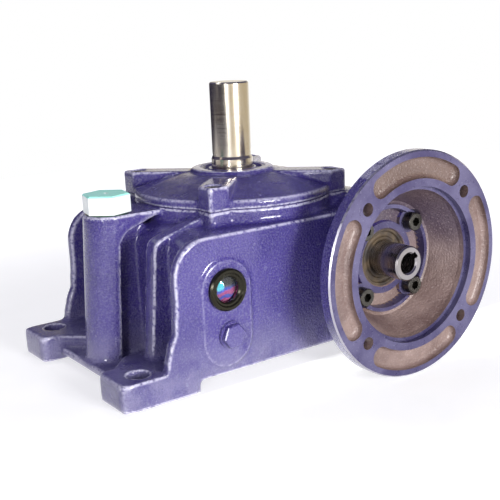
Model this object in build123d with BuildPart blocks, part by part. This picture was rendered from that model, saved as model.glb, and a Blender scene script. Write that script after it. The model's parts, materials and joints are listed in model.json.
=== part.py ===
"""Right-angle worm gear reducer: vertical output shaft, horizontal worm, IEC motor flange.

Frame: millimetres, +Z up. The origin is on the output shaft's axis, in the plane that the
feet stand on, and in the middle of the foot bolt pattern. +X runs towards the worm, and
the motor flange faces -Y.
"""

import os
from math import acos, cos, degrees, pi, radians, sin, sqrt, tan

from build123d import *

os.makedirs("parts", exist_ok=True)

# ---------------------------------------------------------------- driving dimensions
# gear pair
module = 3.5
wheel_teeth = 30
worm_pitch_r = 17.5
pressure_angle = radians(20)
backlash = 0.30  # along the pitch line
lead = pi * module  # a single-start worm
wheel_pitch_r = module * wheel_teeth / 2
wheel_width = 30.0

# axes
centre_distance = wheel_pitch_r + worm_pitch_r
worm_x = centre_distance
worm_z = 64.0

# housing
half_depth = 78.0  # the front and back walls stand at y = -78 and y = +78
wall = 8.0
body_left = -86.0
cheek_left = -100.0  # the front and back walls run past the end wall
body_right = 108.0
body_bottom = 7.5
body_top = 101.4
shoulder_r = 16.0
parting_z = 111.0  # top of the housing's joint ring
ring_r = 72.0
lug_half = 58.7  # the corner lugs end on a square of twice this
lug_width = 21.0
chamber_r = 64.0
barrel_r = 46.0  # round barrel about the worm
bearing_boss_y = 50.0  # inner end of the worm's bearing bosses

# feet
foot_end = 141.5
foot_inner = 83.0
foot_depth = 35.0
foot_top = 18.0
foot_hole_r = 7.5
foot_hole_x = 122.6
foot_hole_y = 63.5

# top cover
gasket = 0.5
rim_top = 117.5
ear_top = 127.5
hub_r = 30.0
hub_top = 130.0
register_r = 66.0  # spigot that centres the cover in the housing

# shafts
journal_r = 15.0
output_r = 14.0
output_top = 190.0
input_r = 12.5
input_bore_r = 7.0
input_end = -110.7  # y of the open end of the hollow input shaft
rear_end = 74.0

# bearings
worm_race_r = 26.0
worm_bearing_width = 15.0
worm_bearing_y = 56.0  # inner side of each worm bearing
output_race_r = 31.0
output_bearing_width = 16.0
lower_bearing_z = 20.0
upper_bearing_z = 100.0

# motor flange: IEC size 71, form B5
flange_r = 80.0
flange_pcd = 130.0
flange_hole_r = 4.5
spigot_r = 55.0
spigot_depth = 4.5
flange_face = -118.5
rim_thickness = 10.0

# cover fasteners
side_pcd = 67.0  # screws of the motor flange and of the rear cover
cover_screw_pcd = 142.8

worm_axis = Axis((worm_x, 0, worm_z), (0, 1, 0))
# Outlines of turned pieces are drawn as (place along the axis, radius) on these planes.
worm_side = Plane(origin=(worm_x, 0, worm_z), x_dir=(0, 1, 0), z_dir=(1, 0, 0))
output_side = Plane(origin=(0, 0, 0), x_dir=(0, 0, 1), z_dir=(0, 1, 0))


def across_worm(y):
    """The plane at y square to the worm axis, seen from the motor side."""
    return Plane(origin=(worm_x, y, worm_z), x_dir=(1, 0, 0), z_dir=(0, -1, 0))


def turned(side, outline):
    """A turned piece: an (along, radius) outline revolved about the plane's x axis."""
    with BuildPart() as piece:
        with BuildSketch(side):
            with BuildLine():
                Polyline(*outline, close=True)
            make_face()
        revolve(axis=Axis(side.origin, side.x_dir))
    return piece.part


def save(name, shape):
    """Label a finished piece and write its STEP file."""
    shape.label = name
    export_step(shape, f"parts/{name}.step")


def body_profile():
    """End view of the body: a box with a rounded shoulder, and the worm barrel."""
    with BuildLine() as outline:
        FilletPolyline((0, body_bottom), (body_left, body_bottom), (body_left, body_top),
                       (0, body_top), radius=(4, shoulder_r))
        Polyline((0, body_top), (worm_x, body_top), (body_right, worm_z),
                 (body_right, body_bottom), (0, body_bottom))
    make_face(outline.edges())
    with Locations((worm_x, worm_z)):
        Circle(barrel_r)


def diagonal_arms():
    """Four arms along the diagonals, each ending on a square in a right-angled corner."""
    side = lug_width / sqrt(2)
    with PolarLocations(0, 4):
        Polygon((lug_half, lug_half), (lug_half - side, lug_half), (0, side), (side, 0),
                (lug_half, lug_half - side), align=None)


def ring_profile():
    """Plan of the joint between housing and cover: a circle with four corner lugs."""
    Circle(ring_r)
    diagonal_arms()


# ---------------------------------------------------------------- housing
cheek_r = 24.0  # upper left corner of the front and back walls
rib_inner, rib_outer = 36.0, 48.0  # |y| of the two faces of each end rib
column_r = 16.6
column_top = 110.0
column_top_x = -103.0
column_base_x = -110.4  # the column leans out by its casting draft
column_back = 2.0  # its flat back stands this far behind its axis
vent_bore_bottom = 102.0
strip_bottom, strip_top = 4.0, 10.0
strip_end = 129.0
pad_x, pad_z = -63.0, 49.0  # raised pad under the sight glass and the drain plug
pad_r = 19.2
pad_length = 72.5
pad_height = 1.8
pad_y = -half_depth - pad_height
glass_x, glass_z = -63.0, 65.6
drain_x, drain_z = -61.2, 34.6
glass_thread_r = 12.0
drain_thread_r = 6.5
vent_thread_r = 10.0
cap_top = 16.5
front_face = Plane.XZ.offset(half_depth)

with BuildPart() as housing:
    with BuildSketch(Plane.XZ):
        body_profile()
    extrude(amount=half_depth, both=True)

    # cheek: the front wall runs past the end wall and down to the foot
    with BuildSketch(front_face.offset(-wall)):
        with BuildLine():
            FilletPolyline((0, body_bottom), (-109.5, body_bottom), (-108.5, 24), (-105, 36),
                           (-101.7, 42), (cheek_left, 62), (cheek_left, body_top),
                           (0, body_top), radius=(1, 3, 3, 3, 3, cheek_r))
            Line((0, body_top), (0, body_bottom))
        make_face()
    extrude(amount=wall)

    # end rib: leans back at the top and runs up to the joint ring
    with BuildSketch(Plane.XZ.offset(rib_inner)):
        with BuildLine():
            FilletPolyline((-50, body_bottom), (-104, body_bottom), (-95.4, 96),
                           (-62, 106.3), (-50, 107.5), radius=(1, 9, 6))
            Line((-50, 107.5), (-50, body_bottom))
        make_face()
    extrude(amount=rib_outer - rib_inner)

    # feet: a pad, and a web that ties it to the end wall
    for side in (-1, 1):
        with BuildSketch(Plane.XY):
            with Locations((side * (foot_inner + foot_end) / 2, foot_depth / 2 - half_depth)):
                RectangleRounded(foot_end - foot_inner, foot_depth, 5)
        extrude(amount=foot_top)
        with BuildSketch(Plane.XY.offset(strip_bottom)):
            Polygon((side * 134, -60), (side * 134, -43), (side * 130, -43),
                    (side * 113, -26), (side * 84, -26), (side * 84, -76), align=None)
        extrude(amount=foot_top - strip_bottom)
    mirror(about=Plane.XZ)

    # low strip that joins the feet along each end
    with BuildSketch(Plane.XY.offset(strip_bottom)):
        Rectangle(2 * strip_end, 2 * (half_depth - foot_depth) + 10)
    extrude(amount=strip_top - strip_bottom)

    # breather column at the left end: a half-round post, a bracket and a thin web behind
    for z, x in ((strip_bottom, column_base_x), (column_top, column_top_x)):
        with BuildSketch(Plane.XY.offset(z)):
            with BuildLine():
                ThreePointArc((x, -column_r), (x - column_r, 0), (x, column_r))
                Polyline((x, column_r), (x + column_back, column_r),
                         (x + column_back, -column_r), (x, -column_r))
            make_face()
    loft()
    with BuildSketch(Plane.XZ):
        Polygon((-103.5, column_top), (-103.5, 90), (-101.4, 92.6), (-97.2, 98.1),
                (-84.1, 102.8), (-75.8, 105.8), (-62, 106.5), (-62, column_top), align=None)
    extrude(amount=column_r, both=True)
    with BuildSketch(Plane.XZ):
        Polygon((-110, strip_bottom), (-104, 104), (-80, 104), (-80, strip_bottom), align=None)
    extrude(amount=6, both=True)

    # joint ring under the cover
    with BuildSketch(Plane.XY.offset(body_top - wall)):
        ring_profile()
    extrude(amount=parting_z - body_top + wall)

    # pad for the sight glass and the drain plug
    with BuildSketch(front_face):
        with Locations((pad_x, pad_z)):
            SlotOverall(pad_length, 2 * pad_r, rotation=90)
    extrude(amount=pad_height)

    # inner space: the box, the wheel chamber and the worm tunnel
    with BuildSketch(Plane.XZ):
        with BuildLine():
            Polyline((body_left + wall, body_bottom + wall), (worm_x, body_bottom + wall),
                     (worm_x, body_top - wall), (body_left + wall, body_top - wall),
                     close=True)
        make_face()
    extrude(amount=half_depth - wall, both=True, mode=Mode.SUBTRACT)
    with BuildSketch(Plane.XZ):
        with Locations((worm_x, worm_z)):
            Circle(barrel_r - wall)
    extrude(amount=bearing_boss_y, both=True, mode=Mode.SUBTRACT)
    with BuildSketch(Plane.XY.offset(body_bottom + wall)):
        Circle(chamber_r)
    extrude(amount=parting_z - body_bottom - wall, mode=Mode.SUBTRACT)

    # boss of the lower bearing, and the bearing bosses of the worm inside the box
    with BuildSketch(Plane.XY.offset(body_bottom)):
        Circle(output_race_r + wall)
    extrude(amount=lower_bearing_z + output_bearing_width - body_bottom)
    for side in (-1, 1):
        with BuildSketch(across_worm(side * half_depth)):
            Circle(worm_race_r + 10)
        extrude(amount=side * (half_depth - bearing_boss_y))

    # bores and registers
    with BuildSketch(across_worm(-half_depth)):
        Circle(worm_race_r)
    extrude(amount=-2 * half_depth, mode=Mode.SUBTRACT)
    for z, radius, depth in ((parting_z, register_r, 7.0),
                             (lower_bearing_z + output_bearing_width, output_race_r,
                              output_bearing_width),
                             (lower_bearing_z, output_race_r - 4, lower_bearing_z - cap_top),
                             (cap_top, output_race_r, cap_top)):
        with BuildSketch(Plane.XY.offset(z)):
            Circle(radius)
        extrude(amount=-depth, mode=Mode.SUBTRACT)

    # threaded holes for the plugs
    with BuildSketch(Plane.XZ.offset(-pad_y)):
        with Locations((glass_x, glass_z)):
            Circle(glass_thread_r)
        with Locations((drain_x, drain_z)):
            Circle(drain_thread_r)
    extrude(amount=-wall - 4, mode=Mode.SUBTRACT)
    with BuildSketch(Plane.XY.offset(column_top)):
        with Locations((column_top_x, 0)):
            Circle(vent_thread_r)
    extrude(amount=vent_bore_bottom - column_top, mode=Mode.SUBTRACT)
    with BuildSketch(Plane.YZ.offset(column_top_x)):
        with Locations((0, vent_bore_bottom - 1)):
            Circle(2.5)
    extrude(amount=-column_top_x - chamber_r + 2, mode=Mode.SUBTRACT)

    # screw holes
    for side in (-1, 1):
        with BuildSketch(across_worm(side * half_depth)):
            with PolarLocations(side_pcd / 2, 4, start_angle=45):
                Circle(4.0)
        extrude(amount=side * 19, mode=Mode.SUBTRACT)
    with BuildSketch(Plane.XY.offset(parting_z)):
        with PolarLocations(cover_screw_pcd / 2, 4, start_angle=45):
            Circle(3.0)
    extrude(amount=-16, mode=Mode.SUBTRACT)
    with BuildSketch(Plane.XY):
        with GridLocations(2 * foot_hole_x, 2 * foot_hole_y, 2, 2):
            Circle(foot_hole_r)
    extrude(amount=foot_top + 1, mode=Mode.SUBTRACT)
save("housing", housing.part)


# ---------------------------------------------------------------- turned and bought pieces
def ball_bearing(name, side, start, bore_r, race_r, width, ball_r, balls):
    """A deep groove ball bearing: two races, a cage and its balls, each a piece."""
    middle = start + width / 2
    pitch_r = (bore_r + race_r) / 2
    axis = Axis(side.origin, side.x_dir)
    mid_plane = Plane(origin=side.from_local_coords((middle, 0, 0)), z_dir=side.x_dir)

    def race(low_r, high_r):
        with BuildPart() as ring:
            with BuildSketch(side):
                with Locations((middle, (low_r + high_r) / 2)):
                    RectangleRounded(width, high_r - low_r, 0.8)
                with Locations((middle, pitch_r)):
                    Circle(ball_r + 0.1, mode=Mode.SUBTRACT)
            revolve(axis=axis)
        return ring.part

    save(f"{name}_inner_race", race(bore_r, pitch_r - 0.55 * ball_r))
    save(f"{name}_outer_race", race(pitch_r + 0.55 * ball_r, race_r))

    # a crown cage: an end ring with open pockets
    with BuildPart() as cage:
        with BuildSketch(side):
            with Locations((middle, pitch_r)):
                Rectangle(2.6 * ball_r, 0.6 * ball_r)
        revolve(axis=axis)
        with BuildSketch(mid_plane.offset(-ball_r - 0.2)):
            with PolarLocations(pitch_r, balls):
                Circle(ball_r + 0.2)
        extrude(amount=2.5 * ball_r, mode=Mode.SUBTRACT)
    save(f"{name}_cage", cage.part)

    with BuildPart() as ball_set:
        with Locations(mid_plane):
            with PolarLocations(pitch_r, balls):
                Sphere(ball_r)
    save(f"{name}_balls", ball_set.part)


def circlip(name, side, start, groove_r, outer_r):
    """An external circlip: an open ring with a lug at each end."""
    thickness = 1.3
    plane = Plane(origin=side.from_local_coords((start, 0, 0)), z_dir=side.x_dir)
    with BuildPart() as clip:
        with BuildSketch(plane):
            Circle(outer_r)
            with Locations((outer_r, 3.2), (outer_r, -3.2)):
                Circle(2.4)
            Circle(groove_r, mode=Mode.SUBTRACT)
            with Locations((outer_r, 0)):
                Rectangle(2 * outer_r - groove_r, 3.0, mode=Mode.SUBTRACT)
            with Locations((outer_r, 3.2), (outer_r, -3.2)):
                Circle(1.0, mode=Mode.SUBTRACT)
        extrude(amount=thickness)
    save(name, clip.part)


def shaft_seal(name, side, face, inward, case_r, shaft_r):
    """A lip seal: its face stands at `face`, and it runs `inward` (+1 or -1) for 7 mm."""
    def at(depth, radius):
        return (face + inward * depth, radius)

    save(name, turned(side, [
        at(0, case_r), at(7, case_r), at(7, case_r - 1.5), at(2.6, case_r - 1.5),
        at(2.6, shaft_r + 4.2), at(6.4, shaft_r + 3.4), at(6.4, shaft_r + 1.6),
        at(4.2, shaft_r + 0.05), at(1.0, shaft_r + 0.05), at(0.2, shaft_r + 1.0),
        at(0.2, shaft_r + 2.2), at(1.4, shaft_r + 3.2), at(1.4, case_r - 2.6),
        at(0, case_r - 1.8)]))


def socket_screws(name, plane, pcd, thread_r, head_r, head_height, length, key_width):
    """Four socket head cap screws on a circle; the plane is the one their heads sit on."""
    with BuildPart() as screws:
        with BuildSketch(plane):
            with PolarLocations(pcd / 2, 4, start_angle=45):
                Circle(head_r)
        extrude(amount=head_height)
        chamfer(screws.edges().filter_by(GeomType.CIRCLE).sort_by(SortBy.RADIUS)[-8:], 0.5)
        with BuildSketch(plane):
            with PolarLocations(pcd / 2, 4, start_angle=45):
                Circle(thread_r)
        extrude(amount=-length)
        with BuildSketch(plane.offset(head_height)):
            with PolarLocations(pcd / 2, 4, start_angle=45):
                RegularPolygon(key_width / 2, 6, major_radius=False)
        extrude(amount=-0.6 * head_height, mode=Mode.SUBTRACT)
    save(name, screws.part)


# ---------------------------------------------------------------- top cover
seal_seat_r = 23.5
seal_seat_z = 118.5
cover_base = parting_z + gasket
upper_bearing_top = upper_bearing_z + output_bearing_width
cover_boss_r = output_race_r + wall - 1
cover_screw_head_z = ear_top - 7.0

with BuildPart() as arms:
    with BuildSketch(Plane.XY.offset(cover_base)) as arm_plan:
        diagonal_arms()
        Circle(hub_r - 5)
        fillet(arm_plan.vertices().sort_by_distance((0, 0))[-12:], 2.0)
    extrude(amount=ear_top - cover_base)
    fillet(arms.edges().group_by(Axis.Z)[-1], 1.5)

with BuildPart() as top_cover:
    with BuildSketch(output_side):
        with BuildLine():
            # from the register up over the rim and the cone to the hub
            Polyline((106, 0), (106, register_r - 0.1), (cover_base, register_r - 0.1),
                     (cover_base, ring_r), (rim_top - 1.2, ring_r), (rim_top, ring_r - 1.2),
                     (rim_top + 0.3, 68.5), (123.5, 50), (126.6, 36), (127.2, hub_r),
                     (hub_top - 0.8, hub_r), (hub_top, hub_r - 0.8), (hub_top, 0), close=True)
        make_face()
    revolve(axis=Axis.Z)
    add(arms.part)
    with BuildSketch(Plane.XY.offset(upper_bearing_z)):
        Circle(cover_boss_r)
    extrude(amount=12)
    with BuildSketch(output_side):
        Polygon((100, cover_boss_r), (119, cover_boss_r), (113, 60), (100, 60), align=None)
    revolve(axis=Axis.Z, mode=Mode.SUBTRACT)
    for low, high, radius in ((upper_bearing_z, upper_bearing_top, output_race_r),
                              (upper_bearing_top, seal_seat_z, output_race_r - 4),
                              (seal_seat_z, hub_top, seal_seat_r)):
        with BuildSketch(Plane.XY.offset(low)):
            Circle(radius)
        extrude(amount=high - low, mode=Mode.SUBTRACT)
    with Locations(Plane.XY.offset(ear_top)):
        with PolarLocations(cover_screw_pcd / 2, 4, start_angle=45):
            CounterBoreHole(radius=3.3, counter_bore_radius=5.5,
                            counter_bore_depth=ear_top - cover_screw_head_z)
save("top_cover", top_cover.part)

with BuildPart() as cover_gasket:
    with BuildSketch(Plane.XY.offset(parting_z)):
        ring_profile()
        Circle(register_r, mode=Mode.SUBTRACT)
        with PolarLocations(cover_screw_pcd / 2, 4, start_angle=45):
            Circle(3.3, mode=Mode.SUBTRACT)
    extrude(amount=gasket)
save("cover_gasket", cover_gasket.part)

socket_screws("cover_screws", Plane.XY.offset(cover_screw_head_z), cover_screw_pcd,
              thread_r=3.0, head_r=5.0, head_height=6.0, length=24.0, key_width=5.0)
shaft_seal("output_seal", output_side, hub_top - 0.5, -1, seal_seat_r, journal_r)

# ---------------------------------------------------------------- motor flange
flange_base = -half_depth - gasket
base_r = barrel_r
screw_boss_face = -86.0
screw_seat_r = 8.8
recess_floor = -83.2
bowl_ring_face, bowl_ring_r = -90.5, 39.0  # raised ring round the screws
seal_case_r = 21.0
pocket_r, pocket_width, pocket_depth = 67.75, 14.5, 5.0

with BuildSketch() as pocket_plan:
    for middle in (0, 90, 180, 270):
        SlotArc(CenterArc((0, 0), pocket_r, middle - 30, 60), pocket_width)

with BuildPart() as pockets:
    with BuildSketch(across_worm(flange_face)):
        add(pocket_plan.sketch)
    extrude(amount=-pocket_depth)
    fillet(pockets.edges().group_by(Axis.Y)[-1], 3.5)

with BuildPart() as motor_flange:
    with BuildSketch(worm_side):
        with BuildLine():
            # spigot and base, out along the bell to the rim, and back down the bowl
            Polyline((-71.1, seal_case_r), (-71.1, worm_race_r - 0.05),
                     (flange_base, worm_race_r - 0.05), (flange_base, base_r),
                     (-84, base_r + 0.5), (flange_face + rim_thickness + 2, 60),
                     (flange_face + rim_thickness, 63),
                     (flange_face + rim_thickness, flange_r - 1),
                     (flange_face + rim_thickness - 1, flange_r), (flange_face + 1, flange_r),
                     (flange_face, flange_r - 1), (flange_face, spigot_r),
                     (flange_face + spigot_depth, spigot_r),
                     (flange_face + spigot_depth, 52.5), (-110.5, 51.7),
                     (bowl_ring_face + 0.4, bowl_ring_r + 2.6),
                     (bowl_ring_face + 1.4, bowl_ring_r + 0.2), (bowl_ring_face, bowl_ring_r),
                     (bowl_ring_face, bowl_ring_r - 2.7), (recess_floor, bowl_ring_r - 3.5),
                     (recess_floor, 27), (screw_boss_face, 26.2),
                     (screw_boss_face, seal_case_r + 0.6),
                     (screw_boss_face + 0.6, seal_case_r), close=True)
        make_face()
    revolve(axis=worm_axis)
    with BuildSketch(across_worm(recess_floor + 1)):
        with PolarLocations(side_pcd / 2, 4, start_angle=45):
            Circle(screw_seat_r)
    extrude(amount=recess_floor + 1 - screw_boss_face)
    with BuildSketch(across_worm(screw_boss_face)):
        with PolarLocations(side_pcd / 2, 4, start_angle=45):
            Circle(screw_seat_r)
    extrude(amount=10, mode=Mode.SUBTRACT)
    add(pockets.part, mode=Mode.SUBTRACT)
    with BuildSketch(across_worm(flange_face)):
        with PolarLocations(flange_pcd / 2, 4, start_angle=45):
            Circle(flange_hole_r)
    extrude(amount=-rim_thickness - 2, mode=Mode.SUBTRACT)
    with BuildSketch(across_worm(screw_boss_face)):
        with PolarLocations(side_pcd / 2, 4, start_angle=45):
            Circle(4.5)
    extrude(amount=-12, mode=Mode.SUBTRACT)
save("motor_flange", motor_flange.part)


def side_gasket(name, low_y):
    """Ring gasket between a worm bearing boss and the cover bolted to it."""
    with BuildPart() as ring:
        with BuildSketch(across_worm(low_y + gasket)):
            Circle(barrel_r)
            Circle(worm_race_r, mode=Mode.SUBTRACT)
            with PolarLocations(side_pcd / 2, 4, start_angle=45):
                Circle(4.5, mode=Mode.SUBTRACT)
        extrude(amount=gasket)
    save(name, ring.part)


side_gasket("flange_gasket", flange_base)
side_gasket("rear_cover_gasket", half_depth)
socket_screws("flange_screws", across_worm(screw_boss_face), side_pcd,
              thread_r=4.0, head_r=6.5, head_height=8.0, length=26.0, key_width=6.0)
shaft_seal("input_seal", worm_side, screw_boss_face + 1.5, 1, seal_case_r, input_r)

# ---------------------------------------------------------------- rear cover
rear_face = 86.5

with BuildPart() as rear_cover:
    with BuildSketch(worm_side):
        with BuildLine():
            Polyline((rear_end + 1.5, 0), (rear_end + 1.5, 20), (71.1, 20),
                     (71.1, worm_race_r - 0.05), (half_depth + gasket, worm_race_r - 0.05),
                     (half_depth + gasket, barrel_r), (rear_face - 2, barrel_r),
                     (rear_face, barrel_r - 2), (rear_face, 22), (rear_face - 1.5, 19),
                     (rear_face - 1.5, 0), close=True)
        make_face()
    revolve(axis=worm_axis)
    with BuildSketch(across_worm(rear_face)):
        with PolarLocations(side_pcd / 2, 4, start_angle=45):
            Circle(4.5)
    extrude(amount=12, mode=Mode.SUBTRACT)
save("rear_cover", rear_cover.part)
rear_plane = Plane(origin=(worm_x, rear_face, worm_z), x_dir=(-1, 0, 0), z_dir=(0, 1, 0))
socket_screws("rear_cover_screws", rear_plane, side_pcd,
              thread_r=4.0, head_r=6.5, head_height=8.0, length=26.0, key_width=6.0)

# ---------------------------------------------------------------- worm shaft
worm_root_r = worm_pitch_r - 1.2 * module
worm_tip_r = worm_pitch_r + module
thread_half_length = 30.0
turns = 7.5
circlip_groove_r = 11.9
circlip_gap = 0.2


def thread_half_width(radius):
    """Half the axial thickness of the worm thread at a radius."""
    return (lead / 2 - backlash / 2) / 2 - (radius - worm_pitch_r) * tan(pressure_angle)


with BuildPart() as worm_thread:
    with BuildLine() as thread_path:
        Helix(pitch=lead, height=turns * lead, radius=worm_pitch_r,
              center=(worm_x, -turns * lead / 2, worm_z), direction=(0, 1, 0))
    start = thread_path.line @ 0
    # axial section of the thread, in the plane through the worm axis; local y is radial
    with BuildSketch(Plane(origin=start, x_dir=(0, 1, 0), z_dir=(1, 0, 0))):
        low, high = worm_root_r - 1 - worm_pitch_r, module
        half_low = thread_half_width(worm_root_r - 1)
        half_high = thread_half_width(worm_tip_r)
        Polygon((-half_low, low), (half_low, low), (half_high, high), (-half_high, high),
                align=None)
    sweep(path=thread_path.line, is_frenet=True)
    with BuildSketch(across_worm(thread_half_length)):
        Circle(worm_tip_r + 1)
    extrude(amount=2 * thread_half_length, mode=Mode.INTERSECT)

with BuildPart() as worm_shaft:
    with BuildSketch(worm_side):
        with BuildLine():
            Polyline((input_end, 0), (input_end, input_r - 1), (input_end + 1, input_r),
                     (-worm_bearing_y, input_r), (-worm_bearing_y, 16), (-36, 16),
                     (-34, worm_root_r), (34, worm_root_r), (36, 16), (worm_bearing_y, 16),
                     (worm_bearing_y, input_r), (rear_end - 1, input_r),
                     (rear_end, input_r - 1), (rear_end, 0), close=True)
        make_face()
    revolve(axis=worm_axis)
    add(worm_thread.part)
    with BuildSketch(across_worm(input_end)):
        Circle(input_bore_r)
    extrude(amount=-39, mode=Mode.SUBTRACT)
    with BuildSketch(worm_side):
        Polygon((input_end, 0), (input_end, input_bore_r + 1.2),
                (input_end + 1.2, input_bore_r), (input_end + 1.2, 0), align=None)
    revolve(axis=worm_axis, mode=Mode.SUBTRACT)
    with BuildSketch(across_worm(input_end)):
        with PolarLocations(input_bore_r, 1, start_angle=40):
            Rectangle(4.6, 5)
    extrude(amount=-35, mode=Mode.SUBTRACT)
    for y in (-worm_bearing_y - worm_bearing_width - circlip_gap,
              worm_bearing_y + worm_bearing_width + circlip_gap + 1.3):
        with BuildSketch(across_worm(y)):
            Circle(input_r + 1)
            Circle(circlip_groove_r, mode=Mode.SUBTRACT)
        extrude(amount=1.3, mode=Mode.SUBTRACT)
save("worm_shaft", worm_shaft.part)

ball_bearing("front_bearing", worm_side, -worm_bearing_y - worm_bearing_width,
             input_r, worm_race_r, worm_bearing_width, ball_r=3.97, balls=9)
ball_bearing("rear_bearing", worm_side, worm_bearing_y,
             input_r, worm_race_r, worm_bearing_width, ball_r=3.97, balls=9)
circlip("front_circlip", worm_side,
        -worm_bearing_y - worm_bearing_width - circlip_gap - 1.3, circlip_groove_r, 15.0)
circlip("rear_circlip", worm_side,
        worm_bearing_y + worm_bearing_width + circlip_gap, circlip_groove_r, 15.0)

# ---------------------------------------------------------------- worm wheel
rim_bore_r = 42.0
hub_bore_r = 17.5
hub_low, hub_high = 41.0, 87.0
wheel_low, wheel_high = worm_z - wheel_width / 2, worm_z + wheel_width / 2
wheel_base_r = wheel_pitch_r * cos(pressure_angle)
wheel_root_r = wheel_pitch_r - 1.2 * module
wheel_tip_r = wheel_pitch_r + module
wheel_outer_r = 57.0
twist = degrees(wheel_width / 2 * lead / (2 * pi * worm_pitch_r) / wheel_pitch_r)


def involute(angle):
    return tan(angle) - angle


def flank_angle(radius):
    """Half the angle that a wheel tooth spans at a radius."""
    half_at_pitch = (lead / 2 - backlash / 2) / 2 / wheel_pitch_r
    pressure = acos(min(1.0, wheel_base_r / radius))
    return half_at_pitch + involute(pressure_angle) - involute(pressure)


def polar(radius, angle):
    return (radius * cos(angle), radius * sin(angle))


flank_radii = [wheel_base_r + (wheel_outer_r + 0.7 - wheel_base_r) * step / 4
               for step in range(5)]
with BuildSketch() as tooth:
    with BuildLine():
        right = [polar(r, -flank_angle(r)) for r in flank_radii]
        left = [polar(r, flank_angle(r)) for r in reversed(flank_radii)]
        foot_angle = flank_angle(wheel_base_r)
        foot_r = wheel_root_r - 2
        Line(polar(foot_r, -foot_angle), right[0])
        Spline(*right)
        Line(right[-1], left[0])
        Spline(*left)
        Line(left[-1], polar(foot_r, foot_angle))
        Line(polar(foot_r, foot_angle), polar(foot_r, -foot_angle))
    make_face()

with BuildPart() as wheel_rim:
    for z, turn in ((wheel_low, -twist), (wheel_high, twist)):
        with BuildSketch(Plane.XY.offset(z).rotated((0, 0, turn))):
            Circle(wheel_root_r)
            with PolarLocations(0, wheel_teeth, start_angle=180 / wheel_teeth):
                add(tooth.sketch)
    loft(ruled=True)
    # the blank: a throat that wraps the worm, and bevelled corners
    throat_r = centre_distance - wheel_tip_r
    throat_half = sqrt(throat_r ** 2 - (centre_distance - wheel_outer_r) ** 2)
    with BuildSketch(output_side):
        with BuildLine():
            ThreePointArc((worm_z - throat_half, wheel_outer_r), (worm_z, wheel_tip_r),
                          (worm_z + throat_half, wheel_outer_r))
            Polyline((worm_z + throat_half, wheel_outer_r), (wheel_high - 4, wheel_outer_r),
                     (wheel_high, wheel_outer_r - 3.5), (wheel_high, rim_bore_r),
                     (wheel_low, rim_bore_r), (wheel_low, wheel_outer_r - 3.5),
                     (wheel_low + 4, wheel_outer_r), (worm_z - throat_half, wheel_outer_r))
        make_face()
    revolve(axis=Axis.Z, mode=Mode.INTERSECT)
    with BuildSketch(Plane.XY.offset(wheel_high)):
        with PolarLocations(rim_bore_r, 4, start_angle=45):
            Circle(3.0)
    extrude(amount=-14, mode=Mode.SUBTRACT)
save("wheel_rim", wheel_rim.part)

with BuildPart() as wheel_hub:
    with BuildSketch(output_side):
        with BuildLine():
            Polyline((hub_low, hub_bore_r), (hub_low, 26), (54, 28), (54, 35),
                     (wheel_low, 36), (wheel_low, rim_bore_r), (wheel_high, rim_bore_r),
                     (wheel_high, 36), (74, 35), (74, 28), (hub_high, 26),
                     (hub_high, hub_bore_r), close=True)
        make_face()
    revolve(axis=Axis.Z)
    with BuildSketch(Plane.XY.offset(wheel_high)):
        with PolarLocations(rim_bore_r, 4, start_angle=45):
            Circle(3.0)
    extrude(amount=-14, mode=Mode.SUBTRACT)
    with BuildSketch(Plane.XY.offset(hub_low)):
        with Locations((-hub_bore_r, 0)):
            Rectangle(6.6, 10)
    extrude(amount=hub_high - hub_low, mode=Mode.SUBTRACT)
save("wheel_hub", wheel_hub.part)

with BuildPart() as rim_screws:
    with BuildSketch(Plane.XY.offset(wheel_high - 0.5)):
        with PolarLocations(rim_bore_r, 4, start_angle=45):
            Circle(3.0)
    extrude(amount=-12.5)
    with BuildSketch(Plane.XY.offset(wheel_high - 0.5)):
        with PolarLocations(rim_bore_r, 4, start_angle=45):
            RegularPolygon(1.5, 6, major_radius=False)
    extrude(amount=-4, mode=Mode.SUBTRACT)
save("rim_screws", rim_screws.part)

# ---------------------------------------------------------------- output shaft
key_low, key_high = 46.0, 82.0
keyway_low, keyway_high = 141.0, 184.0
keyway_angle = radians(67.5)  # from +X towards +Y

with BuildPart() as output_shaft:
    with BuildSketch(output_side):
        with BuildLine():
            Polyline((18.5, 0), (18.5, journal_r - 1), (19.5, journal_r), (36, journal_r),
                     (36, 20), (hub_low, 20), (hub_low, hub_bore_r), (hub_high, hub_bore_r),
                     (hub_high, journal_r), (136, journal_r), (138, output_r),
                     (output_top - 1, output_r), (output_top, output_r - 1),
                     (output_top, 0), close=True)
        make_face()
    revolve(axis=Axis.Z)
    # keyway of the free end
    keyway_out = Vector(cos(keyway_angle), sin(keyway_angle), 0)
    with BuildSketch(Plane(origin=keyway_out * (output_r - 4), x_dir=(0, 0, 1), z_dir=keyway_out)):
        with Locations(((keyway_low + keyway_high) / 2, 0)):
            SlotOverall(keyway_high - keyway_low, 8)
    extrude(amount=5, mode=Mode.SUBTRACT)
    # keyway of the wheel, on the -X side
    with BuildSketch(Plane.YZ.offset(-12.5)):
        with Locations((0, (key_low + key_high) / 2)):
            SlotOverall(key_high - key_low, 10, rotation=90)
    extrude(amount=-6, mode=Mode.SUBTRACT)
save("output_shaft", output_shaft.part)

with BuildPart() as wheel_key:
    with BuildSketch(Plane.YZ.offset(-12.5)):
        with Locations((0, (key_low + key_high) / 2)):
            SlotOverall(key_high - key_low, 10, rotation=90)
    extrude(amount=-8)
save("wheel_key", wheel_key.part)

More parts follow.
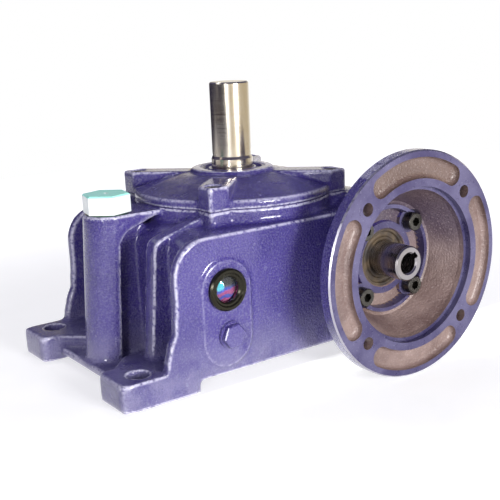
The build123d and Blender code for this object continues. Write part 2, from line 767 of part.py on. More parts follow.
save("wheel_spacer", turned(output_side, [
    (hub_high, journal_r), (hub_high, 21), (upper_bearing_z, 21), (upper_bearing_z, journal_r)]))
ball_bearing("lower_bearing", output_side, lower_bearing_z,
             journal_r, output_race_r, output_bearing_width, ball_r=4.76, balls=9)
ball_bearing("upper_bearing", output_side, upper_bearing_z,
             journal_r, output_race_r, output_bearing_width, ball_r=4.76, balls=9)
save("bottom_cap", turned(output_side, [
    (8.5, 0), (8.5, output_race_r), (cap_top, output_race_r), (cap_top, output_race_r - 2.5),
    (10.5, output_race_r - 2.5), (10.5, 0)]))

# ---------------------------------------------------------------- plugs and sight glass
vent_hex_base = column_top + 1.0
vent_hex_height = 12.5

save("vent_washer", turned(Plane(origin=(column_top_x, 0, 0), x_dir=(0, 0, 1), z_dir=(0, 1, 0)), [
    (column_top, vent_thread_r), (column_top, 14), (vent_hex_base, 14),
    (vent_hex_base, vent_thread_r)]))

with BuildPart() as vent_plug:
    with BuildSketch(Plane.XY.offset(vent_hex_base)):
        with Locations((column_top_x, 0)):
            RegularPolygon(14.3, 6, major_radius=False, rotation=18)
    extrude(amount=vent_hex_height)
    chamfer(vent_plug.faces().sort_by(Axis.Z)[-1].edges(), 1.0)
    with BuildSketch(Plane.XY.offset(vent_hex_base)):
        with Locations((column_top_x, 0)):
            Circle(vent_thread_r)
    extrude(amount=vent_bore_bottom + 0.5 - vent_hex_base)
    with BuildSketch(Plane.XY.offset(vent_hex_base + vent_hex_height)):
        with Locations((column_top_x, 0)):
            Circle(1.5)
    extrude(amount=-28, mode=Mode.SUBTRACT)
save("vent_plug", vent_plug.part)

glass_side = Plane(origin=(glass_x, 0, glass_z), x_dir=(0, 1, 0), z_dir=(1, 0, 0))
drain_side = Plane(origin=(drain_x, 0, drain_z), x_dir=(0, 1, 0), z_dir=(1, 0, 0))
lens_r = 8.4
save("sight_glass_body", turned(glass_side, [
    (pad_y, 14), (pad_y - 2.2, 14), (pad_y - 3.2, 13), (pad_y - 3.2, 11.4),
    (pad_y - 2.2, 10.6), (pad_y - 2.2, 9.4), (pad_y - 1.2, lens_r), (-71, lens_r),
    (-71, glass_thread_r), (pad_y, glass_thread_r)]))
save("sight_glass_lens", turned(glass_side, [
    (pad_y - 1.2, 0), (pad_y - 0.9, 4), (pad_y + 0.2, lens_r), (pad_y + 3, lens_r),
    (pad_y + 3, 0)]))
save("sight_glass_reflector", turned(glass_side, [
    (-74, 0), (-74, lens_r), (-73, lens_r), (-73, 0)]))

with BuildPart() as drain_plug:
    with BuildSketch(drain_side):
        Polygon((pad_y + 10, 0), (pad_y + 10, drain_thread_r), (pad_y - 0.8, drain_thread_r),
                (pad_y - 0.8, 9.3), (pad_y - 1.8, 9.3), (pad_y - 1.8, 0), align=None)
    revolve(axis=Axis(drain_side.origin, (0, 1, 0)))
    with BuildSketch(Plane.XZ.offset(-pad_y + 1.8)):
        with Locations((drain_x, drain_z)):
            RegularPolygon(7.5, 6, major_radius=False, rotation=8)
    extrude(amount=3.8)
    chamfer(drain_plug.faces().sort_by(Axis.Y)[0].edges(), 0.7)
save("drain_plug", drain_plug.part)
save("drain_washer", turned(drain_side, [
    (pad_y, drain_thread_r), (pad_y, 9.5), (pad_y - 0.8, 9.5), (pad_y - 0.8, drain_thread_r)]))
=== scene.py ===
"""The looks of a worm gear reducer: painted castings, steel, screws, plug and sight glass.

Lengths are in metres, in the row frame: +Z up along the output shaft, -Y out of the motor flange.
"""
import json
import math

import bmesh
import bpy
import numpy as np
from mathutils import Matrix, Vector


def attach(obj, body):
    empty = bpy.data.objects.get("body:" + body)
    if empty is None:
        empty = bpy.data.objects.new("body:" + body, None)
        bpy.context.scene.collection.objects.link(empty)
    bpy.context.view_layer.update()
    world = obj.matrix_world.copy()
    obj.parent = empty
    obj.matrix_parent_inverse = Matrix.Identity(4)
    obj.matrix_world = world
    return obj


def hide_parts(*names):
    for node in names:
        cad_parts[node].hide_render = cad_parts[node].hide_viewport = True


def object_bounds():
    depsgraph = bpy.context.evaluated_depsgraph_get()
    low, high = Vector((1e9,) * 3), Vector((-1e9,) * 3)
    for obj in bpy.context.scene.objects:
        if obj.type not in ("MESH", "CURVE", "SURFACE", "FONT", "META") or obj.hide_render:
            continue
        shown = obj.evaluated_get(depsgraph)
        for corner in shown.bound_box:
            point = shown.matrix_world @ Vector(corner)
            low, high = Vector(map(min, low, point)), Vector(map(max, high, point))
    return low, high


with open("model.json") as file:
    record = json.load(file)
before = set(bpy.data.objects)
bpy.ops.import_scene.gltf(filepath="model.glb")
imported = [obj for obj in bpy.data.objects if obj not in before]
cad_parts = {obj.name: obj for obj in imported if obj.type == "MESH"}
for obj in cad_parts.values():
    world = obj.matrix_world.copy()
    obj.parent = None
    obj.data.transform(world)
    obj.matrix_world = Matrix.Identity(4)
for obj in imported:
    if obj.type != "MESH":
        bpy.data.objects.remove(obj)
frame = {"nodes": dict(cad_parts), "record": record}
cad_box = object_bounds()
nodes = frame["nodes"]

# measures of the CAD, some of them with a small margin to pick out faces
WORM_X, WORM_Z = 0.070, 0.064
FLANGE_FACE_Y, FLANGE_R = -0.1185, 0.080
SPIGOT_R, SPIGOT_DEPTH = 0.055, 0.0045
SCREW_SEAT_Y = -0.086
BELL_RING_INNER_R, BELL_RING_OUTER_R = 0.0345, 0.0396
PLATE_BACK_Y = -0.1085
SIGHT_X, SIGHT_Z = -0.063, 0.0656
PAD_Z, PAD_FACE_Y = 0.049, -0.0775
COLUMN_TOP_Z = 0.1095
FOOT_HOLE_X, FOOT_HOLE_Y = 0.1226, 0.0635
RIB_INNER_Y, RIB_OUTER_Y = 0.034, 0.050
PARTING_Z, COVER_TOP_Z, COVER_BORE_R = 0.1125, 0.130, 0.0255
VENT_HEX_Z = 0.118
# the board that carries the feet ends here, so that the flange can hang past it
BOARD_FRONT_Y, BOARD_REACH = -0.0835, 0.9
# the camera's right and its line of sight, seen from above
VIEW_RIGHT, VIEW_AHEAD = (0.807, -0.590), (0.590, 0.807)


# ---------------------------------------------------------------- materials

def linear(red, green, blue):
    """The linear colour of an sRGB colour given from 0 to 255."""
    def one(value):
        share = value / 255
        return share / 12.92 if share <= 0.04045 else ((share + 0.055) / 1.055) ** 2.4
    return (one(red), one(green), one(blue), 1.0)


class Nodes:
    """Short calls for the nodes of one tree; place is where they are asked about."""

    def __init__(self, tree, place):
        self.tree = tree
        self.place = tree.nodes.new("ShaderNodeTexCoord").outputs[place]

    def node(self, kind, links=(), **settings):
        made = self.tree.nodes.new(kind)
        for key, value in settings.items():
            setattr(made, key, value)
        for socket, value in dict(links).items():
            if isinstance(value, bpy.types.NodeSocket):
                self.tree.links.new(value, made.inputs[socket])
            else:
                made.inputs[socket].default_value = value
        return made

    def noise(self, scale, detail=2.0, stretch=None, rough=0.5):
        """A noise from 0 to 1, scale cycles to the metre; stretch scales each axis first."""
        place = self.place
        if stretch:
            place = self.node("ShaderNodeMapping", {"Vector": place, "Scale": stretch}).outputs[0]
        return self.node("ShaderNodeTexNoise", {"Vector": place, "Scale": scale, "Detail": detail,
                                                "Roughness": rough}).outputs["Fac"]

    def math(self, operation, first, second=0.0, clamp=False):
        return self.node("ShaderNodeMath", {0: first, 1: second}, operation=operation,
                         use_clamp=clamp).outputs[0]

    def span(self, value, low, high, start=0.0, end=1.0, smooth=True):
        """value from low..high moved to start..end, and held there outside."""
        made = self.node("ShaderNodeMapRange",
                         {"Value": value, "From Min": low, "From Max": high,
                          "To Min": start, "To Max": end})
        made.interpolation_type = "SMOOTHSTEP" if smooth else "LINEAR"
        return made.outputs[0]

    def mix(self, share, first, second):
        made = self.tree.nodes.new("ShaderNodeMix")
        made.data_type = "RGBA"
        for index, value in ((0, share), (6, first), (7, second)):
            if isinstance(value, bpy.types.NodeSocket):
                self.tree.links.new(value, made.inputs[index])
            else:
                made.inputs[index].default_value = value
        return made.outputs[2]

    def axis(self, letter):
        split = self.node("ShaderNodeSeparateXYZ", {"Vector": self.place})
        return split.outputs[letter]

    def radius(self, centre, drop):
        """The distance from an axis through centre; drop is the axis's letter."""
        moved = self.node("ShaderNodeVectorMath", {0: self.place, 1: centre}, operation="SUBTRACT")
        keep = [0.0 if letter == drop else 1.0 for letter in "XYZ"]
        flat = self.node("ShaderNodeVectorMath", {0: moved.outputs[0], 1: keep},
                         operation="MULTIPLY")
        length = self.node("ShaderNodeVectorMath", {0: flat.outputs[0]}, operation="LENGTH")
        return length.outputs["Value"]


class Finish(Nodes):
    """A procedural material: a Principled shader and the nodes that feed it."""

    def __init__(self, name, **sockets):
        self.material = bpy.data.materials.new(name)
        self.material.use_nodes = True
        super().__init__(self.material.node_tree, "Object")
        self.shader = self.tree.nodes["Principled BSDF"]
        for socket, value in sockets.items():
            self.shader.inputs[socket.replace("_", " ")].default_value = value
        self.normal = None

    def pointiness(self):
        return self.tree.nodes.new("ShaderNodeNewGeometry").outputs["Pointiness"]

    def colour(self, socket):
        self.tree.links.new(socket, self.shader.inputs["Base Color"])
        return self

    def rough(self, socket):
        self.tree.links.new(socket, self.shader.inputs["Roughness"])
        return self

    def bump(self, height, depth, strength=1.0):
        """Adds relief: height from 0 to 1 stands for depth metres."""
        links = {"Height": height, "Distance": depth, "Strength": strength}
        if self.normal:
            links["Normal"] = self.normal
        self.normal = self.node("ShaderNodeBump", links).outputs[0]
        self.tree.links.new(self.normal, self.shader.inputs["Normal"])
        return self


INDIGO_DARK = linear(44, 31, 112)
INDIGO_LIGHT = linear(58, 45, 126)
# painted highlight colour, laid on the edges and on the top of the cover
INDIGO_HIGHLIGHT = linear(206, 203, 226)
# painted sheen colour, for the painted glints and the painted reflection of the floor low down
PAINTED_SHEEN = linear(128, 124, 158)


def casting_paint(name, edges=True):
    """Gloss indigo paint over sand-cast iron: fine pebble, cloudy tone, painted glints, a painted
    floor reflection low down and painted highlights on the cover's top and on the edges.
    """
    f = Finish(name, Roughness=0.3, Coat_Weight=0.7, Coat_Roughness=0.12, Specular_IOR_Level=0.6)
    tone = f.mix(f.span(f.noise(22, 4), 0.35, 0.65), INDIGO_DARK, INDIGO_LIGHT)
    # painted glints: fine pale specks where the pebbled paint would catch the light
    painted_glints = f.span(f.noise(820, 2), 0.44, 0.68, 0, 0.27)
    tone = f.mix(painted_glints, tone, PAINTED_SHEEN)
    # painted reflection of the floor: paler towards the bottom, broken up by a noise
    low = f.math("MULTIPLY", f.span(f.axis("Z"), 0.046, 0.0, 0, 0.7),
                 f.span(f.noise(60, 4), 0.2, 0.6))
    tone = f.mix(low, tone, PAINTED_SHEEN)
    # painted highlight on the flat top of the cover's hub
    painted_cover_highlight = f.span(f.axis("Z"), COVER_TOP_Z - 0.0006, COVER_TOP_Z - 0.0001, 0, 0.55)
    painted_cover_highlight = f.math("MULTIPLY", painted_cover_highlight, f.span(f.noise(180, 3), 0.3, 0.6))
    tone = f.mix(painted_cover_highlight, tone, INDIGO_HIGHLIGHT)
    if edges:
        # painted highlight on the convex edges, broken up by a noise
        painted_edge_highlight = f.math("MULTIPLY", f.span(f.pointiness(), 0.509, 0.536, 0, 0.9),
                      f.span(f.noise(420, 3), 0.25, 0.55))
        tone = f.mix(painted_edge_highlight, tone, INDIGO_HIGHLIGHT)
    f.colour(tone)
    f.rough(f.span(f.noise(90, 3), 0.3, 0.7, 0.16, 0.28))
    f.bump(f.noise(75, 2), 0.0008, 0.2)
    f.bump(f.noise(700, 3, rough=0.6), 0.0016, 1.0)
    return f.material


def flange_face_metal():
    """The turned face of the motor flange, filmed with paint mist: fine rings about its axis."""
    f = Finish("flange_face", Roughness=0.4, Metallic=0.35, Specular_IOR_Level=0.5)
    centre = (WORM_X, 0, WORM_Z)
    rings = f.math("SINE", f.math("MULTIPLY", f.radius(centre, "Y"), 7000.0))
    tone = f.mix(f.span(f.noise(40, 4), 0.3, 0.7), linear(60, 54, 92), linear(92, 88, 120))
    tone = f.mix(f.span(f.noise(700, 2), 0.60, 0.75, 0, 0.4), tone, linear(150, 148, 166))
    f.colour(tone)
    f.rough(f.span(f.noise(160, 3), 0.3, 0.7, 0.26, 0.42))
    f.bump(rings, 0.00004, 0.6)
    f.bump(f.noise(700, 2), 0.0001, 0.7)
    return f.material


def primer():
    """The red-brown primer left inside the bell and its pockets, with painted shade that darkens
    it towards the top.
    """
    f = Finish("bell_primer", Roughness=0.42, Specular_IOR_Level=0.5, Coat_Weight=0.25,
               Coat_Roughness=0.2)
    tone = f.mix(f.span(f.noise(35, 5), 0.3, 0.7), linear(98, 78, 74), linear(138, 118, 112))
    # painted shade inside the bell, deeper towards the top
    in_bell = f.span(f.radius((WORM_X, 0, WORM_Z), "Y"), SPIGOT_R + 0.005, SPIGOT_R)
    shade = f.math("MULTIPLY", f.span(f.axis("Z"), 0.045, 0.105, 0, 0.9), in_bell)
    tone = f.mix(shade, tone, linear(52, 44, 72))
    # painted shade: all the primer darker towards the top
    tone = f.mix(f.span(f.axis("Z"), 0.075, 0.130, 0, 0.75), tone, linear(84, 66, 60))
    tone = f.mix(f.span(f.noise(800, 2), 0.56, 0.74, 0, 0.28), tone, linear(176, 160, 160))
    f.colour(tone)
    f.rough(f.span(f.noise(80, 3), 0.3, 0.7, 0.30, 0.52))
    f.bump(f.noise(100, 3), 0.0008, 0.4)
    f.bump(f.noise(700, 2), 0.0007, 0.9)
    return f.material


def turned_steel(name, axis, tone, roughness, depth):
    """Bare steel turned about an axis: fine rings, faint brown stain."""
    f = Finish(name, Metallic=1.0, Roughness=roughness)
    stretch = [2600.0 if letter == axis else 9.0 for letter in "XYZ"]
    lines = f.noise(1.0, 3, stretch)
    stain = f.span(f.noise(45, 4), 0.45, 0.75, 0, 0.55)
    base = f.mix(stain, (*tone, 1), (tone[0] * 0.72, tone[1] * 0.60, tone[2] * 0.42, 1))
    base = f.mix(f.span(lines, 0.35, 0.65, 0, 0.3), base, (*[t * 0.55 for t in tone], 1))
    f.colour(base)
    f.rough(f.span(lines, 0.3, 0.7, roughness * 0.7, roughness * 1.6))
    f.bump(lines, depth, 0.6)
    return f.material


def plain_metal(name, tone, roughness, grain, depth, spots, metallic=1.0):
    """Metal with a fine grain and slightly darker spots."""
    f = Finish(name, Metallic=metallic, Roughness=roughness)
    shade = f.span(f.noise(grain * 0.3, 4), 0.4, 0.7, 0, spots)
    f.colour(f.mix(shade, (*tone, 1), (*[t * 0.45 for t in tone], 1)))
    f.rough(f.span(f.noise(grain * 0.6, 3), 0.3, 0.7, roughness * 0.75, roughness * 1.3))
    f.bump(f.noise(grain, 3), depth, 0.6)
    return f.material


def seal_rubber():
    """Brown oil-seal rubber with moulded rings about the input shaft."""
    f = Finish("seal_rubber", Roughness=0.5, Specular_IOR_Level=0.45)
    rings = f.math("SINE", f.math("MULTIPLY", f.radius((WORM_X, 0, WORM_Z), "Y"), 3600.0))
    tone = f.mix(f.span(f.noise(120, 4), 0.3, 0.7), linear(44, 38, 36), linear(92, 78, 60))
    f.colour(tone)
    f.rough(f.span(f.noise(200, 3), 0.3, 0.7, 0.36, 0.6))
    f.bump(rings, 0.00015, 0.6)
    f.bump(f.noise(500, 2), 0.0001, 0.5)
    return f.material


def soft_sheet(name, dark, light, scale=260, roughness=0.8, depth=0.0001):
    """Paper, plastic or other dull sheet stock."""
    f = Finish(name, Roughness=roughness, Specular_IOR_Level=0.35)
    f.colour(f.mix(f.span(f.noise(scale * 0.2, 4), 0.3, 0.7), dark, light))
    f.rough(f.span(f.noise(scale, 3), 0.3, 0.7, roughness * 0.85, min(1.0, roughness * 1.15)))
    f.bump(f.noise(scale * 2, 3), depth, 0.6)
    return f.material


def lens_glass():
    """The sight glass: clear, with a faint oily film."""
    f = Finish("sight_glass_glass", Roughness=0.03, Transmission_Weight=1.0, IOR=1.49)
    f.colour(f.mix(f.span(f.noise(90, 3), 0.4, 0.7), (0.93, 0.97, 0.98, 1), (0.80, 0.88, 0.92, 1)))
    f.bump(f.noise(60, 1), 0.00004, 0.2)
    return f.material


def reflector():
    """The disc behind the glass: dark foil, painted glints of magenta and blue in bands low down,
    and a painted cyan glint.
    """
    f = Finish("sight_reflector", Metallic=0.5, Roughness=0.3)
    slant = f.math("ADD", f.axis("Z"), f.math("MULTIPLY", f.axis("X"), -0.25))
    wave = f.math("SINE", f.math("MULTIPLY", f.math("ADD", slant, f.math(
        "MULTIPLY", f.noise(150, 2), 0.006)), 1500.0))
    # painted glints: wavy magenta and blue bands
    bands = f.mix(f.span(wave, -0.3, 0.5), linear(24, 60, 190), linear(186, 36, 120))
    low = f.span(f.axis("Z"), SIGHT_Z + 0.0012, SIGHT_Z - 0.0014)
    tone = f.mix(low, (0.012, 0.014, 0.030, 1), bands)
    glint = f.radius((SIGHT_X - 0.0016, 0, SIGHT_Z + 0.0010), "Y")
    tone = f.mix(f.span(glint, 0.0034, 0.0024), tone, linear(70, 225, 235))
    f.colour(tone)
    f.rough(f.span(f.noise(300, 3), 0.3, 0.7, 0.25, 0.45))
    f.bump(wave, 0.00008, 0.4)
    return f.material


PAINT = casting_paint("indigo_paint")
PAINT_PLAIN = casting_paint("indigo_paint_small", edges=False)
FLANGE_FACE = flange_face_metal()
PRIMER = primer()
BARE_EDGE = plain_metal("bare_edge", (0.55, 0.53, 0.60), 0.3, 500, 0.00008, 0.3)
OUTPUT_STEEL = turned_steel("output_shaft_steel", "Z", (0.62, 0.57, 0.49), 0.17, 0.00002)
WORM_STEEL = turned_steel("worm_shaft_steel", "Y", (0.38, 0.36, 0.37), 0.20, 0.00003)
BEARING_STEEL = plain_metal("bearing_steel", (0.62, 0.62, 0.63), 0.16, 500, 0.00002, 0.12)
CAGE_STEEL = plain_metal("cage_steel", (0.50, 0.48, 0.44), 0.34, 400, 0.00006, 0.3)
SCREW_BLACK = plain_metal("black_oxide", (0.10, 0.095, 0.085), 0.28, 500, 0.00008, 0.6)
SEAL = seal_rubber()
GASKET = soft_sheet("gasket_paper", linear(38, 62, 48), linear(62, 88, 70))
BRONZE = plain_metal("wheel_bronze", (0.66, 0.42, 0.17), 0.3, 260, 0.0001, 0.35)
HUB_IRON = plain_metal("hub_iron", (0.24, 0.235, 0.23), 0.48, 200, 0.0004, 0.35)
VENT_WHITE = soft_sheet("vent_white", linear(206, 214, 214), linear(228, 234, 232),
                        200, 0.38, 0.00008)
VENT_MINT = soft_sheet("vent_mint", linear(158, 246, 222), linear(186, 253, 238),
                       200, 0.42, 0.00008)
SIGHT_FRAME = plain_metal("sight_frame", (0.022, 0.020, 0.012), 0.24, 300, 0.0001, 0.5, 0.7)
GLASS = lens_glass()
REFLECTOR = reflector()
COPPER = plain_metal("copper", (0.80, 0.38, 0.24), 0.3, 300, 0.0001, 0.3)

FINISHES = {
    "casting_paint": PAINT_PLAIN, "flange_paint": PAINT_PLAIN, "shaft_steel": WORM_STEEL,
    "bearing_steel": BEARING_STEEL, "cage_steel": CAGE_STEEL, "screw_black": SCREW_BLACK,
    "seal_rubber": SEAL, "gasket_paper": GASKET, "wheel_bronze": BRONZE, "hub_iron": HUB_IRON,
    "breather_plastic": VENT_WHITE, "glass_clear": GLASS, "glass_frame": SIGHT_FRAME,
    "reflector_foil": REFLECTOR, "copper": COPPER,
}
OWN_FINISH = {
    "output_shaft": OUTPUT_STEEL, "output_seal": PAINT_PLAIN,
    "cover_gasket": PAINT_PLAIN, "drain_washer": PAINT_PLAIN,
}


def dress(piece, material):
    piece.data.materials.clear()
    piece.data.materials.append(material)


for row in frame["record"]["subparts"]:
    name = row["node"]
    dress(nodes[name], OWN_FINISH.get(name, FINISHES[row["material_slot"]]))


def face_table(piece):
    """The centre and the normal of each face, as two arrays."""
    count = len(piece.data.polygons)
    centres, normals = np.zeros(count * 3), np.zeros(count * 3)
    piece.data.polygons.foreach_get("center", centres)
    piece.data.polygons.foreach_get("normal", normals)
    return centres.reshape(-1, 3), normals.reshape(-1, 3)


def second_finish(piece, materials, choice):
    """Gives each face the material that choice numbers."""
    piece.data.materials.clear()
    for material in materials:
        piece.data.materials.append(material)
    piece.data.polygons.foreach_set("material_index", choice.astype(np.int32))
    piece.data.update()


def paint_flange(piece):
    """Paint outside, a bare turned face and spigot, and primer in the bell and its pockets."""
    centres, normals = face_table(piece)
    across = centres[:, [0, 2]] - (WORM_X, WORM_Z)
    away = np.linalg.norm(across, axis=1)
    outward = (normals[:, [0, 2]] * across).sum(1) / np.maximum(away, 1e-6)
    y, facing = centres[:, 1], normals[:, 1]
    towards_motor = facing < -0.98
    inside = (outward < -0.1) | (facing < -0.3) | ((y < PLATE_BACK_Y) & (away < FLANGE_R - 0.002))
    face = towards_motor & (y < FLANGE_FACE_Y + 0.0001)
    spigot = (away < SPIGOT_R + 0.0005) & (y < FLANGE_FACE_Y + 0.0048) & (outward < -0.9)
    step = towards_motor & (abs(y - FLANGE_FACE_Y - SPIGOT_DEPTH) < 0.0001)
    boss = towards_motor & (abs(y - SCREW_SEAT_Y) < 0.0001)
    ring = (away > BELL_RING_INNER_R) & (away < BELL_RING_OUTER_R) & (y < SCREW_SEAT_Y + 0.0015)
    rim_chamfer = (away > FLANGE_R - 0.002) & (abs(facing) > 0.3) & (abs(facing) < 0.95)
    choice = np.where(inside, 2, 0)
    choice[face | spigot | step | boss | ring] = 1
    choice[rim_chamfer] = 3
    second_finish(piece, (PAINT_PLAIN, FLANGE_FACE, PRIMER, BARE_EDGE), choice)


def colour_vent(piece):
    """The plug's top is mint, its sides white."""
    centres, normals = face_table(piece)
    top = (normals[:, 2] > 0.35) & (centres[:, 2] > VENT_HEX_Z)
    second_finish(piece, (VENT_WHITE, VENT_MINT), np.where(top, 1, 0))


paint_flange(nodes["motor_flange"])
colour_vent(nodes["vent_plug"])


# ---------------------------------------------------------------- castings with soft edges

def soft_casting(node, voxel, rounds, keep):
    """A copy of a casting's CAD shape with its edges rounded as sand casting leaves them.

    keep(points) gives, for each point, the share of the rounding it gets: 0 stays sharp.
    """
    source = nodes[node]
    piece = bpy.data.objects.new(node + "_cast", source.data.copy())
    bpy.context.scene.collection.objects.link(piece)
    welded = bmesh.new()
    welded.from_mesh(piece.data)
    bmesh.ops.remove_doubles(welded, verts=welded.verts, dist=1e-6)
    welded.to_mesh(piece.data)
    welded.free()
    remesh = piece.modifiers.new("voxels", "REMESH")
    remesh.mode = "VOXEL"
    remesh.voxel_size = voxel
    graph = bpy.context.evaluated_depsgraph_get()
    mesh = bpy.data.meshes.new_from_object(piece.evaluated_get(graph))
    piece.modifiers.clear()
    piece.data = mesh

    points = np.zeros(len(mesh.vertices) * 3)
    mesh.vertices.foreach_get("co", points)
    points = points.reshape(-1, 3)
    ends = np.zeros(len(mesh.edges) * 2, np.int32)
    mesh.edges.foreach_get("vertices", ends)
    first, second = ends.reshape(-1, 2).T
    degree = np.bincount(first, minlength=len(points)) + np.bincount(second, minlength=len(points))
    share = 0.5 * keep(points)[:, None]
    for _ in range(rounds):
        total = np.zeros_like(points)
        for axis in range(3):
            total[:, axis] = (np.bincount(first, points[second, axis], len(points))
                              + np.bincount(second, points[first, axis], len(points)))
        points += share * (total / degree[:, None] - points)
    mesh.vertices.foreach_set("co", points.ravel())
    mesh.polygons.foreach_set("use_smooth", np.ones(len(mesh.polygons), bool))
    mesh.update()
    dress(piece, PAINT)
    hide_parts(node)
    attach(piece, "case")


def near(points, centre, reach, drop):
    """True where a point is within reach of an axis through centre."""
    away = np.delete(points - centre, "XYZ".index(drop), axis=1)
    return np.linalg.norm(away, axis=1) < reach


def housing_rounding(points):
    """Seats, bores and holes stay sharp; the pad, the ribs and the inside are rounded less."""
    share = np.ones(len(points))
    x, y, z = points.T
    share[(z < 0.0004) | (z > COLUMN_TOP_Z)] = 0
    pad = (y < PAD_FACE_Y) & (abs(x - SIGHT_X) < 0.024) & (abs(z - PAD_Z) < 0.042)
    share[pad] = 0.25
    rib = (x < -0.055) & (abs(y) > RIB_INNER_Y) & (abs(y) < RIB_OUTER_Y) & (z > 0.020)
    share[rib] = 0.45
    share[near(points, (WORM_X, 0, WORM_Z), 0.048, "Y") & (abs(y) > 0.0755)] = 0
    for side_x in (-1, 1):
        for side_y in (-1, 1):
            hole = (side_x * FOOT_HOLE_X, side_y * FOOT_HOLE_Y, 0)
            share[near(points, hole, 0.0095, "Z")] = 0.1
    inside = near(points, (0, 0, 0), 0.068, "Z") & (abs(y) < 0.068) & (z > 0.012) & (z < 0.109)
    share[inside] = 0.3
    return share


def cover_rounding(points):
    """The joint face and the bore stay sharp."""
    share = np.full(len(points), 0.6)
    share[points[:, 2] < PARTING_Z] = 0
    share[near(points, (0, 0, 0), COVER_BORE_R, "Z")] = 0
    return share


soft_casting("housing", 0.0012, 12, housing_rounding)
soft_casting("top_cover", 0.0010, 10, cover_rounding)


# ---------------------------------------------------------------- floor, light and camera

def slab(name, low, high, material):
    """A board with rounded edges between two corners."""
    mesh = bpy.data.meshes.new(name)
    shape = bmesh.new()
    bmesh.ops.create_cube(shape, size=1.0)
    middle, size = (Vector(low) + Vector(high)) / 2, Vector(high) - Vector(low)
    bmesh.ops.transform(shape, verts=shape.verts,
                        matrix=Matrix.Translation(middle) @ Matrix.Diagonal((*size, 1)))
    shape.to_mesh(mesh)
    shape.free()
    made = bpy.data.objects.new(name, mesh)
    bpy.context.scene.collection.objects.link(made)
    round_edge = made.modifiers.new("round", "BEVEL")
    round_edge.width, round_edge.segments = 0.002, 4
    made.data.materials.append(material)


def pale_floor():
    """A pale floor that glows, and more so away from the object."""
    f = Finish("floor_pale", Roughness=0.9, Specular_IOR_Level=0.2)
    cloud = f.span(f.noise(40, 4), 0.3, 0.7)
    f.colour(f.mix(cloud, (0.57, 0.57, 0.57, 1), (0.60, 0.60, 0.60, 1)))
    away = f.span(f.radius((0, 0, 0), "Z"), 0.2, 0.65)
    glow = f.mix(away, (0.60, 0.60, 0.59, 1), (1.0, 1.0, 1.0, 1))
    f.tree.links.new(glow, f.shader.inputs["Emission Color"])
    f.shader.inputs["Emission Strength"].default_value = 1.0
    return f.material


FLOOR = pale_floor()
DROP = cad_box[0].z - 0.001
slab("floor", (-BOARD_REACH, -BOARD_REACH, DROP - 0.02), (BOARD_REACH, BOARD_REACH, DROP), FLOOR)
slab("board", (-BOARD_REACH, BOARD_FRONT_Y, DROP - 0.001), (BOARD_REACH, BOARD_REACH, 0.0), FLOOR)


def lamp(name, place, target, size, power, colour=(1, 1, 1)):
    """A soft box that faces target."""
    data = bpy.data.lights.new(name, "AREA")
    data.shape, data.size, data.size_y = "RECTANGLE", size[0], size[1]
    data.energy, data.color = power, colour
    made = bpy.data.objects.new(name, data)
    bpy.context.scene.collection.objects.link(made)
    made.location = place
    made.rotation_euler = (Vector(target) - Vector(place)).to_track_quat("-Z", "Y").to_euler()


MIDDLE = (0, 0, 0.07)
lamp("key", (0.10, -1.25, 0.30), MIDDLE, (0.40, 0.30), 17)
lamp("front_left", (-0.95, -0.75, 0.30), MIDDLE, (0.16, 0.3), 5)
lamp("strip_above", (0.1, 0.35, 0.95), MIDDLE, (0.8, 0.12), 2.5)
lamp("strip_left", (-1.0, 0.35, 0.5), MIDDLE, (0.12, 0.7), 0.5, (1.0, 0.93, 0.80))


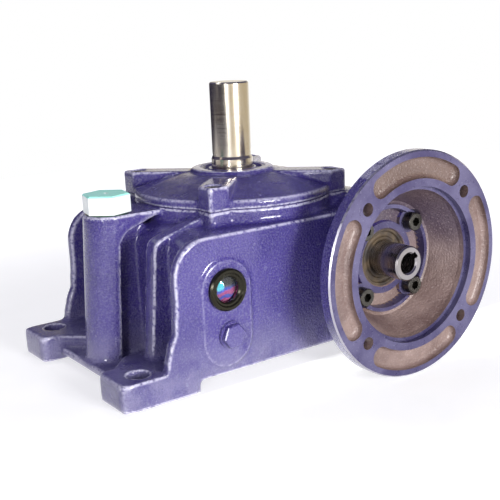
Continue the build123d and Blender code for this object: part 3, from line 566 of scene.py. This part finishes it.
def studio_world():
    """Soft surroundings: dark on the left, warm on the right, white ahead and behind the camera.

    They are dim overhead, and plain pale where the camera sees them bare.
    """
    world = bpy.data.worlds.new("studio")
    world.use_nodes = True
    w = Nodes(world.node_tree, "Generated")
    x, y, z = (w.axis(letter) for letter in "XYZ")
    across, ahead = (
        w.math("ADD", w.math("MULTIPLY", x, way[0]), w.math("MULTIPLY", y, way[1]))
        for way in (VIEW_RIGHT, VIEW_AHEAD))
    tone = w.mix(w.span(across, -0.30, -0.18), (0.04, 0.036, 0.07, 1), (0.78, 0.68, 0.50, 1))
    far = w.math("MULTIPLY", w.span(ahead, 0.55, 0.85), w.span(across, -0.20, -0.08))
    tone = w.mix(far, tone, (1.05, 1.0, 0.90, 1))
    strip = w.math("MULTIPLY", w.span(across, -0.30, -0.20), w.span(across, 0.06, -0.04))
    strip = w.math("MULTIPLY", strip, w.span(ahead, 0.0, -0.4))
    tone = w.mix(strip, tone, (1.5, 1.5, 1.6, 1))
    level = w.span(z, 0.34, 0.22)
    tone = w.mix(level, (0.125, 0.12, 0.22, 1), tone)
    soft = w.tree.nodes["Background"]
    w.tree.links.new(tone, soft.inputs["Color"])
    pale = w.node("ShaderNodeBackground", {"Color": (1, 1, 1, 1), "Strength": 1.0})
    seen = w.node("ShaderNodeLightPath").outputs["Is Camera Ray"]
    both = w.node("ShaderNodeMixShader", {0: seen, 1: soft.outputs[0], 2: pale.outputs[0]})
    w.tree.links.new(both.outputs[0], w.tree.nodes["World Output"].inputs["Surface"])
    bpy.context.scene.world = world


studio_world()
bpy.context.scene.view_settings.view_transform = "Standard"


def aimed_camera(place, yaw, pitch, roll, lens, shift):
    """The camera: yaw turns it left, pitch tips it down, roll leans it, all in degrees."""
    yaw, pitch, roll = (math.radians(angle) for angle in (yaw, pitch, roll))
    ahead = Vector((-math.sin(yaw) * math.cos(pitch), math.cos(yaw) * math.cos(pitch),
                    -math.sin(pitch)))
    right = Vector((math.cos(yaw), math.sin(yaw), 0))
    above = right.cross(ahead)
    leaned_right = math.cos(roll) * right + math.sin(roll) * above
    leaned_above = math.cos(roll) * above - math.sin(roll) * right
    data = bpy.data.cameras.new("camera")
    data.lens, data.sensor_width = lens, 36
    data.shift_x, data.shift_y = shift
    data.clip_start, data.clip_end = 0.02, 30
    made = bpy.data.objects.new("camera", data)
    bpy.context.scene.collection.objects.link(made)
    made.matrix_world = Matrix.Translation(place) @ Matrix(
        (leaned_right, leaned_above, -ahead)).transposed().to_4x4()
    bpy.context.scene.camera = made


aimed_camera((-0.3694, -0.5414, 0.2258), -36.16, 16.23, -2.03, 64.73, (-0.0316, 0.0786))
